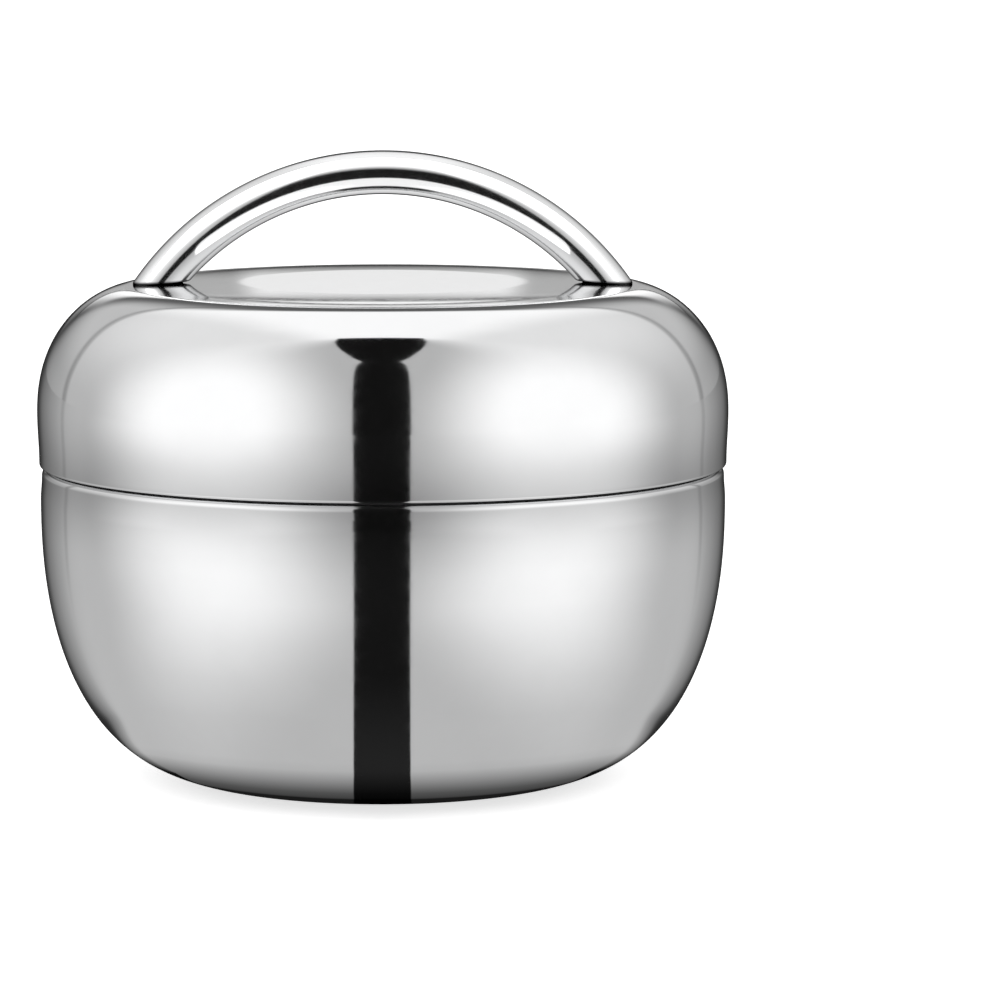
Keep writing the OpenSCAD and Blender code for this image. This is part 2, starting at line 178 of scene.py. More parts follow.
# Narrow bands low behind, which the lid's flat top mirrors: their brightness by degrees up, and
# where they end aside and towards the camera.
BANDS = [(0, 0.04), (1.5, 0.04), (4, 0.75), (6.5, 0.78), (7.3, 0.6), (7.7, 0.16), (8.4, 0.08),
         (8.9, 1), (14, 1), (17, 0.1), (40, 0.1)]
BANDS_ASIDE = (0.09, 0.3)
BANDS_BACK = (0.72, 0.78)
# The lowest of them reaches up to here. On either side less of it is left.
BAND_TOP = (6.8, 7.4)
BAND_SIDES = (0.022, 0.029)
BAND_LEFT = 0.5

# The black stripe from the camera up to the zenith: half its width by how far its direction leans
# to the camera, where it starts, how soft its edge is, and how far it is off to the left.
BLACK = 0.012
STRIPE = [(0, 0.135), (0.05, 0.15), (0.1, 0.163), (0.19, 0.165), (0.27, 0.158), (0.35, 0.141),
          (0.42, 0.122), (0.45, 0.106), (0.485, 0.088), (0.5, 0.094), (0.525, 0.108),
          (0.56, 0.118), (0.63, 0.131), (0.72, 0.141), (0.85, 0.154), (1, 0.165)]
STRIPE_START = 0.022
STRIPE_EDGE = 0.003
STRIPE_SHIFT = 0.008
# Half its width on the floor, in millimetres, by how far in front of the axis it is, and the
# distance within which its edge gets no sharper.
FLOOR_STRIPE = [(0, 5.6), (42, 5.8), (53, 6.4), (65, 7.6), (80, 9.5), (101, 12.4), (129, 16.5),
                (171, 22.9), (240, 33.8), (480, 72.3), (1500, 238)]
FLOOR_STRIPE_NEAR = 60
# Its brightness there, near the part and further out.
FLOOR_BLACK = (BLACK * 3, BLACK * 1.2)
FLOOR_BLACK_AWAY = (45, 110)

# The floor's plain light, a little brighter near the part.
FLOOR_LIGHT = (WALL_GLOW, WALL_GLOW + 0.02)
FLOOR_LIGHT_NEAR = (0.001, 0.004)
# How much of the floor's light is left further round. Round is taken here from a corner on either
# side: how far it is in front of the axis, and how far aside, near the part and further out.
FLOOR_BEHIND = [(0, 1), (118, 1), (126, 0.96), (132, 0.88), (135.4, 0.78), (139, 0.69),
                (144, 0.58), (148.5, 0.49), (156, 0.33), (162, 0.12), (168, 0.05), (180, 0.04)]
CORNER_AHEAD = 15
CORNER_ASIDE = (44, 61)
CORNER_AWAY = (52, 74)
# The join's line on the floor, in degrees off the join, and how far out it shows.
FLOOR_JOIN_TONE = 0.8
FLOOR_JOIN_LINE = (0.4, 2.4)
FLOOR_JOIN_AWAY = (100, 400)
# How the floor darkens towards the base that stands on it, by the distance from the axis.
BASE_SHADE = [(0, 0.02), (40.5, 0.02), (41.5, 0.1), (44.6, 0.17), (46.6, 0.28), (48.6, 0.42),
              (50.3, 0.56), (52.2, 0.72), (54.6, 0.93), (58, 1), (60, 1)]

# The floor's size, in metres, its two tones as the camera sees them, and the light added for it.
FLOOR_HALF = 30
PAPER_TONES = (0.78, 0.82)
PAPER_LIFT = 0.72

# How much light the steel returns, made up for in the brightness around it, and its colour.
STEEL_GLOSS = 0.86
STEEL_COLOUR = (0.86, 0.862, 0.866, 1)
# The painted shade on the steel beside the seam: its tone right at it and how far off it is plain
# again. A rolled edge stays bright, without the painted shade, over this share of its radius.
SEAM_SHADE_TONE = 0.55
SEAM_PLAIN = (-4, 15)
SEAM_BRIGHT_SHARE = 0.6
# The handle: the tone and heights over the land of the painted contact shadow round its feet, how
# much softer its polish is, and its metal's tint at grazing angles.
FOOT_SHADOW_TONE = 0.03
FOOT_SHADOW_LINE = (0.25, 0.9)
HANDLE_SOFT = 0.05
HANDLE_EDGE_TINT = 0.15


def mm(*lengths):
    """Millimetres to metres, one number or a point."""
    return lengths[0] / MM_PER_M if len(lengths) == 1 else Vector(lengths) / MM_PER_M


def grey(level):
    return (level, level, level, 1)


def point_at(obj, target):
    """Turns a camera or lamp towards a point."""
    obj.rotation_euler = (Vector(target) - obj.location).to_track_quat("-Z", "Y").to_euler()


def make_camera():
    camera = bpy.data.objects.new("camera", bpy.data.cameras.new("camera"))
    camera.data.lens = LENS
    camera.data.sensor_width = SENSOR
    camera.data.clip_start, camera.data.clip_end = CLIP
    camera.location = mm(*CAMERA_AT)
    point_at(camera, mm(*CAMERA_AIM))
    bpy.context.scene.collection.objects.link(camera)
    bpy.context.scene.camera = camera


class Graph:
    """A node tree that is built up, each value being a socket or a plain number."""

    def __init__(self, tree):
        self.tree = tree
        tree.nodes.clear()

    def node(self, kind, **settings):
        made = self.tree.nodes.new(kind)
        for name, value in settings.items():
            setattr(made, name, value)
        return made

    def feed(self, socket, value):
        if isinstance(value, bpy.types.NodeSocket):
            self.tree.links.new(value, socket)
        else:
            socket.default_value = value

    def math(self, operation, *values):
        made = self.node("ShaderNodeMath", operation=operation)
        for socket, value in zip(made.inputs, values):
            self.feed(socket, value)
        return made.outputs[0]

    def degrees(self, angle):
        return self.math("MULTIPLY", angle, 180 / math.pi)

    def split(self, vector):
        made = self.node("ShaderNodeSeparateXYZ")
        self.feed(made.inputs[0], vector)
        return made.outputs

    def place(self):
        """The place on the piece, in its own coordinates."""
        return self.node("ShaderNodeTexCoord").outputs["Object"]

    def rise(self, value, low, high, start=0.0, end=1.0):
        """Goes smoothly from start, at low, to end, at high."""
        made = self.node("ShaderNodeMapRange", interpolation_type="SMOOTHSTEP")
        for socket, number in zip(made.inputs, (value, low, high, start, end)):
            self.feed(socket, number)
        return made.outputs[0]

    def curve(self, value, points, smooth=True):
        """A curve through (value, level) points, the first at 0, read at value."""
        made = self.node("ShaderNodeValToRGB")
        made.color_ramp.interpolation = "B_SPLINE" if smooth else "LINEAR"
        stops = made.color_ramp.elements
        while len(stops) < len(points):
            stops.new(1)
        last = points[-1][0]
        for stop, (place, level) in zip(stops, points):
            stop.position = place / last
            stop.color = grey(level)
        self.feed(made.inputs[0], self.math("DIVIDE", value, last))
        return made.outputs[0]

    def mix(self, share, low, high):
        """A number between two numbers."""
        made = self.node("ShaderNodeMix", data_type="FLOAT")
        for socket, value in ((0, share), (2, low), (3, high)):
            self.feed(made.inputs[socket], value)
        return made.outputs[0]

    def tint(self, share, low, high):
        """A colour between two colours."""
        made = self.node("ShaderNodeMix", data_type="RGBA")
        for socket, value in (("Factor", share), (6, low), (7, high)):
            self.feed(made.inputs[socket], value)
        return made.outputs[2]

    def noise(self, scale, detail, roughness=0.5):
        """Noise over the piece's own coordinates, in metres times scale."""
        made = self.node("ShaderNodeTexNoise")
        made.inputs["Scale"].default_value = scale
        made.inputs["Detail"].default_value = detail
        made.inputs["Roughness"].default_value = roughness
        self.feed(made.inputs["Vector"], self.place())
        return made.outputs["Fac"]

    def bump(self, height, depth_mm, strength):
        made = self.node("ShaderNodeBump")
        made.inputs["Strength"].default_value = strength
        made.inputs["Distance"].default_value = mm(depth_mm)
        self.feed(made.inputs["Height"], height)
        return made.outputs[0]


def bearing(g, x, y):
    """Degrees from the camera's side round to a place or direction, the same to left and right."""
    return g.degrees(g.math("ARCTAN2", g.math("ABSOLUTE", x), g.math("MULTIPLY", y, -1)))


def distance(g, x, y):
    return g.math("SQRT", g.math("ADD", g.math("MULTIPLY", x, x), g.math("MULTIPLY", y, y)))


def panel_glow(g, round_by, up):
    """The side panel's light: 1 in its middle, 0 well outside it."""
    across = g.math("DIVIDE", g.math("SUBTRACT", round_by, PANEL_ROUND), PANEL_SPREAD[0])
    return g.rise(distance(g, across, up), *PANEL_FADE, 1, 0)


def over(g, under, light):
    """One light laid over another, together never brighter than 1."""
    dark = g.math("MULTIPLY", g.math("SUBTRACT", 1, under), g.math("SUBTRACT", 1, light))
    return g.math("SUBTRACT", 1, dark)


def sky_glow(g, direction):
    """How bright the studio is in a direction from the part."""
    x, y, z = g.split(direction)
    aside = g.math("ABSOLUTE", x)
    forward = g.math("MULTIPLY", y, -1)
    round_by = bearing(g, x, y)
    up = g.degrees(g.math("ARCSINE", z))
    # The wall, brighter overhead, and the side panels.
    overhead = g.math("MULTIPLY", g.rise(round_by, *OVERHEAD_ROUND), g.rise(up, *OVERHEAD_UP))
    off_panel = g.math("DIVIDE", g.math("SUBTRACT", up, PANEL_UP), PANEL_SPREAD[1])
    panel = panel_glow(g, round_by, off_panel)
    glow = over(g, g.mix(overhead, WALL_GLOW, OVERHEAD_GLOW), panel)
    # The white strip overhead, from the zenith backwards.
    taper = g.math("MAXIMUM", g.math("SUBTRACT", STRIP_TAPER_FROM, y), 0)
    taper = g.math("MULTIPLY", taper, STRIP_TAPER)
    strip = g.rise(g.math("ADD", aside, taper), *STRIP_SIDES, 1, 0)
    strip = g.math("MULTIPLY", strip, g.rise(y, *STRIP_FRONT))
    glow = g.mix(strip, glow, STRIP_GLOW)
    # The darker part behind, inside its rounded join.
    from_behind = g.math("DIVIDE", g.math("SUBTRACT", 180, round_by), JOIN_ROUND)
    height = g.math("DIVIDE", g.math("MAXIMUM", up, 0), JOIN_UP)
    reach = g.math("ADD", g.math("POWER", from_behind, JOIN_BEND),
                   g.math("POWER", height, JOIN_BEND))
    reach = g.math("POWER", reach, 1 / JOIN_BEND)
    low = g.math("MULTIPLY", g.curve(round_by, BEHIND), WALL_GLOW)
    past_corner = g.math("MAXIMUM", g.math("SUBTRACT", round_by, CORNER_ROUND), 0)
    past_corner = g.math("MULTIPLY", past_corner, CORNER_RISE)
    behind = g.mix(g.rise(g.math("SUBTRACT", up, past_corner), *BEHIND_UP), low, BEHIND_GLOW)
    glow = g.mix(g.rise(reach, *JOIN_EDGE), behind, glow)
    off_join = g.math("ABSOLUTE", g.math("SUBTRACT", reach, 1))
    glow = g.math("MULTIPLY", glow, g.rise(off_join, *JOIN_LINE, JOIN_TONE, 1))
    # The narrow bands low behind.
    bands = g.math("MULTIPLY", g.rise(aside, *BANDS_ASIDE, 1, 0), g.rise(y, *BANDS_BACK))
    sides = g.mix(g.rise(up, *BAND_TOP), g.rise(aside, *BAND_SIDES, 1, BAND_LEFT), 1)
    glow = g.mix(bands, glow, g.math("MULTIPLY", g.curve(up, BANDS, smooth=False), sides))
    # The black stripe from the camera up to the zenith.
    half = g.curve(g.math("MAXIMUM", forward, 0), STRIPE, smooth=False)
    off_middle = g.math("ABSOLUTE", g.math("ADD", x, STRIPE_SHIFT))
    clear = g.rise(g.math("SUBTRACT", off_middle, half), -STRIPE_EDGE, STRIPE_EDGE)
    before = g.rise(forward, STRIPE_START - STRIPE_EDGE, STRIPE_START + STRIPE_EDGE, 1, 0)
    clear = g.math("MAXIMUM", clear, before)
    return g.math("MULTIPLY", glow, g.mix(clear, BLACK, 1))


def floor_glow(g, place):
    """How bright the floor looks in the steel, by where it is."""
    x, y, _ = g.split(place)
    x, y = g.math("MULTIPLY", x, MM_PER_M), g.math("MULTIPLY", y, MM_PER_M)
    aside = g.math("ABSOLUTE", x)
    ahead = g.math("MULTIPLY", y, -1)
    away = distance(g, x, y)
    near = g.math("DIVIDE", 1, away)
    # The plain light and the side panels.
    turned = g.math("ADD", bearing(g, x, y), g.rise(near, *PANEL_TURN_NEAR, 0, PANEL_TURN))
    panel = panel_glow(g, turned, g.curve(near, PANEL_ON_FLOOR, smooth=False))
    glow = over(g, g.rise(near, *FLOOR_LIGHT_NEAR, *FLOOR_LIGHT), panel)
    # Darker behind the part, with the join running outwards, and dark where it stands.
    corner = g.math("SUBTRACT", aside, g.rise(away, *CORNER_AWAY, *CORNER_ASIDE))
    from_corner = bearing(g, g.math("MAXIMUM", corner, 0), g.math("ADD", y, CORNER_AHEAD))
    glow = g.math("MULTIPLY", glow, g.curve(from_corner, FLOOR_BEHIND))
    off_join = g.math("ABSOLUTE", g.math("SUBTRACT", from_corner, 180 - JOIN_ROUND))
    join = g.rise(off_join, *FLOOR_JOIN_LINE, FLOOR_JOIN_TONE, 1)
    glow = g.math("MULTIPLY", glow, g.mix(g.rise(away, *FLOOR_JOIN_AWAY), 1, join))
    glow = g.math("MULTIPLY", glow, g.curve(away, BASE_SHADE, smooth=False))
    # The black stripe, out under the camera. Past its last point it widens with the distance.
    half = g.curve(ahead, FLOOR_STRIPE, smooth=False)
    widened = g.math("MAXIMUM", g.math("DIVIDE", ahead, FLOOR_STRIPE[-1][0]), 1)
    half = g.math("MULTIPLY", half, widened)
    off_middle = g.math("ABSOLUTE", g.math("ADD", x, g.math("MULTIPLY", ahead, STRIPE_SHIFT)))
    beyond = g.math("DIVIDE", g.math("SUBTRACT", off_middle, half),
                    g.math("MAXIMUM", g.math("ABSOLUTE", y), FLOOR_STRIPE_NEAR))
    clear = g.math("MAXIMUM", g.rise(beyond, -STRIPE_EDGE, STRIPE_EDGE), g.rise(ahead, 0, 1, 1, 0))
    black = g.rise(away, *FLOOR_BLACK_AWAY, *FLOOR_BLACK)
    return g.math("MULTIPLY", glow, g.mix(clear, black, 1))


def sees_white(g, seen):
    """1 for a ray from the camera or through something, which sees the plain white room."""
    return g.math("MAXIMUM", seen.outputs["Is Camera Ray"], seen.outputs["Is Transmission Ray"])


def make_world():
    world = bpy.data.worlds.new("studio")
    world.use_nodes = True
    bpy.context.scene.world = world
    g = Graph(world.node_tree)
    direction = g.node("ShaderNodeTexCoord").outputs["Generated"]
    glow = g.math("DIVIDE", sky_glow(g, direction), STEEL_GLOSS)
    white = sees_white(g, g.node("ShaderNodeLightPath"))
    background = g.node("ShaderNodeBackground")
    g.feed(background.inputs["Color"], g.mix(white, glow, 1.0))
    g.feed(g.node("ShaderNodeOutputWorld").inputs["Surface"], background.outputs[0])


def make_floor():
    half = FLOOR_HALF
    mesh = bpy.data.meshes.new("floor")
    mesh.from_pydata([(-half, -half, 0), (half, -half, 0), (half, half, 0), (-half, half, 0)], [],
                     [(0, 1, 2, 3)])
    floor = bpy.data.objects.new("floor", mesh)
    bpy.context.scene.collection.objects.link(floor)
    material = bpy.data.materials.new("floor_paper")
    material.use_nodes = True
    material.cycles.emission_sampling = "NONE"
    g = Graph(material.node_tree)
    seen = g.node("ShaderNodeLightPath")
    # Paper that keeps the part's shadow, with light added where the camera sees it.
    paper = g.node("ShaderNodeBsdfDiffuse")
    g.feed(paper.inputs["Color"], g.tint(g.noise(900, 3), *(grey(tone) for tone in PAPER_TONES)))
    lift = g.node("ShaderNodeEmission")
    g.feed(lift.inputs["Strength"], g.math("MULTIPLY", sees_white(g, seen), PAPER_LIFT))
    both = g.node("ShaderNodeAddShader")
    g.feed(both.inputs[0], paper.outputs[0])
    g.feed(both.inputs[1], lift.outputs[0])
    # What the steel mirrors instead.
    mirrored = g.node("ShaderNodeEmission")
    place = g.node("ShaderNodeNewGeometry").outputs["Position"]
    g.feed(mirrored.inputs["Strength"], g.math("DIVIDE", floor_glow(g, place), STEEL_GLOSS))
    choice = g.node("ShaderNodeMixShader")
    g.feed(choice.inputs[0], seen.outputs["Is Glossy Ray"])
    g.feed(choice.inputs[1], both.outputs[0])
    g.feed(choice.inputs[2], mirrored.outputs[0])
    g.feed(g.node("ShaderNodeOutputMaterial").inputs["Surface"], choice.outputs[0])
    mesh.materials.append(material)


def add_lamp(name, place, aim, shape, watts):
    """A new area lamp, which still needs its size."""
    lamp = bpy.data.objects.new(name, bpy.data.lights.new(name, "AREA"))
    lamp.data.shape = shape
    lamp.data.energy = watts
    lamp.location = mm(*place)
    point_at(lamp, mm(*aim))
    bpy.context.scene.collection.objects.link(lamp)
    return lamp


def make_lamp_top():
    """A soft lamp overhead, which the steel doesn't mirror."""
    lamp = add_lamp("lamp_top", (-300, -500, 1500), (0, 0, 50), "DISK", watts=9)
    lamp.data.size = mm(1300)
    lamp.visible_glossy = False


def make_softbox(name, piece, place, aim, wide, high, level, dark_under, full_over):
    """A soft light that comes up from black between two heights. It is linked to one piece, which
    alone mirrors it."""
    # Cycles spreads a lamp's watts over four times its area.
    watts = 4 * mm(wide) * mm(high) * level / STEEL_GLOSS
    lamp = add_lamp(name, place, aim, "RECTANGLE", watts)
    lamp.data.size, lamp.data.size_y = mm(wide), mm(high)
    lamp.visible_camera = False
    lamp.data.use_nodes = True
    g = Graph(lamp.data.node_tree)
    height = g.split(g.node("ShaderNodeNewGeometry").outputs["Position"])[2]
    light = g.node("ShaderNodeEmission")
    g.feed(light.inputs["Strength"], g.rise(height, mm(dark_under), mm(full_over)))
    g.feed(g.node("ShaderNodeOutputLight").inputs["Surface"], light.outputs[0])
    linked = bpy.data.collections.new(name + "_linked")
    linked.objects.link(piece)
    lamp.light_linking.receiver_collection = linked


def light_handle(handle):
    """The two lights that the photograph's handle mirrors and its lid doesn't."""
    make_softbox("softbox_front", handle, place=(0, -340, 623), aim=(0, 181, 41), wide=1600,
                 high=835, level=1, dark_under=320, full_over=560)
    make_softbox("softbox_low", handle, place=(0, -26, 104), aim=(0, -26, 150), wide=70,
                 high=34, level=0.7, dark_under=0, full_over=50)


# The lines below are lists of (radius, height) points, in millimetres.


def shoulder(r0, z0, r1, z1, roundness, steps=110):
    """A quarter of a superellipse, from flat at (r0, z0) to upright at (r1, z1)."""
    across, up = roundness
    line = []
    for i in range(steps + 1):
        a = math.radians(90 * (1 - i / steps))
        line.append((r0 + (r1 - r0) * max(math.cos(a), 0) ** (2 / across),
                     z1 + (z0 - z1) * max(math.sin(a), 0) ** (2 / up)))
    return line


def neck(r0, z0, r1, z1, steps=16):
    """A soft change of radius, upright at both ends."""
    return [(r0 + (r1 - r0) * (1 - math.cos(math.pi * i / steps)) / 2, z0 + (z1 - z0) * i / steps)
            for i in range(steps + 1)]


def slope(r0, z0, r1, z1, steps=16):
    """A soft change of height, flat at both ends."""
    return [(r0 + (r1 - r0) * i / steps, z0 + (z1 - z0) * (1 - math.cos(math.pi * i / steps)) / 2)
            for i in range(steps + 1)]


def bend(p, corner, q, steps=12):
    """A soft bend from p to q, for two straight lines that meet at a corner."""
    return [tuple(a * (1 - t) ** 2 + b * 2 * t * (1 - t) + c * t ** 2
                  for a, b, c in zip(p, corner, q))
            for t in (i / steps for i in range(steps + 1))]


def roll(r, z, way, bend_r=ROLL_R, steps=12):
    """A rolled edge, from upright at radius r to flat at height z."""
    return [(r - bend_r + bend_r * math.cos(a), z - way * bend_r + way * bend_r * math.sin(a))
            for a in (math.radians(90 * i / steps) for i in range(steps + 1))]


def apart(line):
    """The line without points that repeat the one before."""
    kept = line[:1]
    for p in line[1:]:
        if math.dist(p, kept[-1]) > SAME_POINT:
            kept.append(p)
    return kept


def beside(line, d):
    """The line at distance d from this one, on the right of its way."""
    out = []
    for i, (r, z) in enumerate(line):
        (ra, za), (rb, zb) = line[max(i - 1, 0)], line[min(i + 1, len(line) - 1)]
        length = math.dist((ra, za), (rb, zb))
        out.append((max(r + d * (zb - za) / length, 0), z - d * (rb - ra) / length))
    return out


def wall(line, inwards):
    """The section of a wall of even thickness, out along one line and back beside it."""
    return line + beside(line, inwards)[::-1]


def body_line():
    return apart([(0, BASE_HOLLOW_H)]
                 + slope(BASE_HOLLOW_R - BASE_HOLLOW_SLOPE, BASE_HOLLOW_H, BASE_HOLLOW_R, 0)
                 + shoulder(BASE_R, 0, BODY_R, BELLY_Z, BODY_ROUND)
                 + neck(BODY_R, BELLY_Z, RIM_R, BODY_H - ROLL_R)
                 + roll(RIM_R, BODY_H, 1)
                 + [(RIM_R - ROLL_R - BODY_LIP, BODY_H)])


def land_height(r):
    """The height of the land, which slopes down all round the crown, more towards its edge."""
    ring_in, height_in = CROWN_R, CROWN_H
    for ring, height in LAND_BENDS:
        if r <= ring or ring == LAND_BENDS[-1][0]:
            return LAND_Z + height_in + (height - height_in) * (r - ring_in) / (ring - ring_in)
        ring_in, height_in = ring, height


def lid_line():
    crown_z = LAND_Z + CROWN_H
    bend_in, bend_out = CROWN_R - CROWN_BEND / 2, CROWN_R + CROWN_BEND / 2
    side = shoulder(LAND_R, LAND_Z, LID_R, LID_BELLY_Z, LID_ROUND)
    return apart([(0, crown_z)]
                 + bend((bend_in, crown_z), (CROWN_R, crown_z), (bend_out, land_height(bend_out)))
                 + [(r, LAND_Z + height) for r, height in LAND_BENDS]
                 + [p for p in side if p[0] > LAND_BENDS[-1][0]]
                 + neck(LID_R, LID_BELLY_Z, LID_EDGE_R, LID_Z + LID_ROLL_R)
                 + roll(LID_EDGE_R, LID_Z, -1, LID_ROLL_R)
                 + [(LID_EDGE_R - ROLL_R - LID_LIP, LID_Z)])


def bowl_line():
    return apart([(0, BOWL_Z)]
                 + shoulder(BOWL_BASE_R, BOWL_Z, BOWL_R, BOWL_NECK_Z, BOWL_ROUND, 60)
                 + [(BOWL_R, BOWL_TOP - BOWL_T)])


def bowl_wall():
    """The bowl with its flange and the bead around it."""
    outside = bowl_line()
    start = math.pi - math.asin((BEAD_R - BOWL_T) / BEAD_R)
    bead = [(BEAD_MIDDLE_R + BEAD_R * math.cos(a), BOWL_TOP - BEAD_R + BEAD_R * math.sin(a))
            for a in (start + (2.5 * math.pi - start) * i / BEAD_STEPS
                      for i in range(BEAD_STEPS + 1))]
    return (outside + bead + [(BOWL_R, BOWL_TOP), (BOWL_R - BOWL_T, BOWL_TOP - BOWL_T)]
            + beside(outside, -BOWL_T)[::-1][1:])


def body_liner_wall():
    inside = [p for p in beside(bowl_line(), BOWL_ROOM) if p[1] < BOWL_NECK_Z]
    outside = [p for p in beside(bowl_line(), BOWL_ROOM + LINER_T) if p[1] < BOWL_NECK_Z]
    return apart(outside
                 + [(LINER_R, LINER_TOP - LINER_T), (LINER_FLANGE_R, LINER_TOP - LINER_T),
                    (LINER_FLANGE_R, LINER_TOP), (LINER_R - LINER_T, LINER_TOP)]
                 + inside[::-1])


def lid_liner_wall():
    dome = shoulder(CEILING_R, CEILING_Z, LID_BORE_R, LID_LINER_Z + LID_SKIRT, CEILING_ROUND, 50)
    inside = apart([(0, CEILING_Z)] + dome + [(LID_BORE_R, LID_LINER_Z)])
    skirt_r = LID_BORE_R + LINER_T
    flange_r = skirt_r + LID_LINER_FLANGE
    outside = beside(inside, -LINER_T)[::-1]
    return inside + [(flange_r, LID_LINER_Z), (flange_r, LID_LINER_Z + LINER_T),
                     (skirt_r, LID_LINER_Z + LINER_T)] + outside[1:]


def add_object(name, bm, material):
    """A new object from a bmesh, shaded smooth but for its sharper edges."""
    bmesh.ops.recalc_face_normals(bm, faces=bm.faces)
    for face in bm.faces:
        face.smooth = True
    for edge in bm.edges:
        if len(edge.link_faces) == 2:
            edge.smooth = edge.calc_face_angle() < math.radians(SMOOTH_UNDER)
    mesh = bpy.data.meshes.new(name)
    bm.to_mesh(mesh)
    bm.free()
    mesh.materials.append(material)
    obj = bpy.data.objects.new(name, mesh)
    bpy.context.scene.collection.objects.link(obj)
    return obj


def lathe(name, line, material, around=256):
    """A solid of revolution from a line that starts and ends on the axis."""
    bm = bmesh.new()
    rings = []
    for r, z in line:
        if r < ON_AXIS:
            rings.append([bm.verts.new(mm(0, 0, z))])
        else:
            rings.append([bm.verts.new(mm(r * math.cos(2 * math.pi * k / around),
                                          r * math.sin(2 * math.pi * k / around), z))
                          for k in range(around)])
    for low, high in zip(rings, rings[1:]):
        for k in range(around):
            after = (k + 1) % around
            corners = [low[k % len(low)], low[after % len(low)],
                       high[after % len(high)], high[k % len(high)]]
            unique = list(dict.fromkeys(corners))
            if len(unique) > 2:
                bm.faces.new(unique)
    return add_object(name, bm, material)


def handle_tube(name, material, along=140, around=64):
    """The bent tube, hollow, cut to the slope of the lid's land, its feet a little rounded."""
    bm = bmesh.new()

    def grid(radius, foot_round):
        rows = []
        for j in range(around):
            turn = 2 * math.pi * j / around
            arm = ARC_R + radius * math.cos(turn)
            aside = radius * math.sin(turn)
            # Where the tube ends and how high the land is there depend on each other.
            foot_z = LAND_Z
            for _ in range(4):
                end = math.acos((foot_z - ARC_Z) / arm)
                foot_z = land_height(math.hypot(arm * math.sin(end), aside))
            row = []
            for i in range(along + 1):
                angle = math.sin(math.pi * (i / along - 0.5)) * end
                height = ARC_Z + arm * math.cos(angle) - foot_z
                inset = 0
                if height < foot_round:
                    drop = foot_round - height
                    inset = foot_round - math.sqrt(max(foot_round ** 2 - drop ** 2, 0))
                thin = radius - inset
                reach = ARC_R + thin * math.cos(turn)
                x, y = reach * math.sin(angle), -thin * math.sin(turn)
                z = max(ARC_Z + reach * math.cos(angle), land_height(math.hypot(x, y)))
                row.append(bm.verts.new(mm(x, y, z)))
            rows.append(row)
        for j, row in enumerate(rows):
            after = rows[(j + 1) % around]
            for i in range(along):
                bm.faces.new((row[i], row[i + 1], after[i + 1], after[i]))
        return rows

    outer = grid(TUBE_R, FOOT_EDGE_R)
    inner = grid(TUBE_R - TUBE_T, 0)
    for j in range(around):
        after = (j + 1) % around
        for i in (0, along):
            bm.faces.new((outer[j][i], outer[after][i], inner[after][i], inner[j][i]))
    return add_object(name, bm, material)


# In the materials, the numbers of a noise() are its scale, detail and roughness, and those of a
# rise() around it the part of its range that is used and the tones or roughness it becomes.


def new_material(name):
    material = bpy.data.materials.new(name)
    material.use_nodes = True
    g = Graph(material.node_tree)
    shader = g.node("ShaderNodeBsdfPrincipled")
    g.feed(g.node("ShaderNodeOutputMaterial").inputs["Surface"], shader.outputs[0])
    return material, g, shader.inputs


def painted_foot_shadow(g):
    """Painted contact shadow: dark in a line where the handle stands on the land, and 1 over it."""
    x, _, z = g.split(g.place())
    inside = g.math("SUBTRACT", mm(LAND_BENDS[-1][0]), g.math("ABSOLUTE", x))
    land = g.math("ADD", mm(LAND_Z), g.math("MULTIPLY", inside, LAND_FALL))
    low, high = FOOT_SHADOW_LINE
    return g.rise(g.math("SUBTRACT", z, land), mm(low), mm(high), FOOT_SHADOW_TONE, 1)


def painted_seam_shade(g, seam, edge_r):
    """Painted shade: a little darker beside the seam, but not on the bright rolled edge."""
    from_seam = g.math("ABSOLUTE", g.math("SUBTRACT", g.split(g.place())[2], mm(seam)))
    low, high = SEAM_PLAIN
    shaded = g.rise(from_seam, mm(low), mm(high), SEAM_SHADE_TONE, 1)
    return g.mix(g.rise(from_seam, mm(edge_r * SEAM_BRIGHT_SHARE), mm(edge_r)), 1, shaded)


def polished_steel(name, seam=None, edge_r=0.0, foot=False):
    """Mirror-polished steel: a shell, with painted shade by the height of its seam, or the handle
    with a painted contact shadow round its feet.
    """
    material, g, shader = new_material(name)
    shader["Metallic"].default_value = 1
    tone = g.rise(g.noise(60, 4, 0.6), 0.3, 0.7, 0.975, 1)
    soft = 0
    if foot:
        shader["Specular Tint"].default_value = grey(HANDLE_EDGE_TINT)
        # Painted contact shadow in the base colour round the handle's feet.
        tone = g.math("MULTIPLY", tone, painted_foot_shadow(g))
        soft = HANDLE_SOFT
    # Painted shade in the base colour beside the seam, darker towards it.
    if seam:
        tone = g.math("MULTIPLY", tone, painted_seam_shade(g, seam, edge_r))
    g.feed(shader["Base Color"], g.tint(tone, grey(0), STEEL_COLOUR))
    polish = g.rise(g.noise(420, 5, 0.65), 0.25, 0.75, 0.045 + soft, 0.075 + soft)
    g.feed(shader["Roughness"], polish)
    g.feed(shader["Normal"], g.bump(g.noise(35, 1), 0.02, 0.15))
    return material


def brushed_steel(name, tone, roughness, grain):
    """Steel with the fine rings that turning or brushing leaves."""
    material, g, shader = new_material(name)
    shader["Metallic"].default_value = 1
    shader["Anisotropic"].default_value = 0.5
    x, y, z = g.split(g.place())
    line = g.node("ShaderNodeCombineXYZ")
    g.feed(line.inputs[0], distance(g, x, y))
    g.feed(line.inputs[1], z)
    rings = g.node("ShaderNodeTexNoise")
    rings.inputs["Scale"].default_value = grain
    rings.inputs["Detail"].default_value = 4
    g.feed(rings.inputs["Vector"], line.outputs[0])
    ring = rings.outputs["Fac"]
    g.feed(shader["Base Color"], g.tint(ring, grey(tone * 0.9), grey(tone)))
    g.feed(shader["Roughness"], g.rise(ring, 0.3, 0.7, roughness * 0.8, roughness * 1.2))
    g.feed(shader["Normal"], g.bump(ring, 0.02, 0.35))
    return material


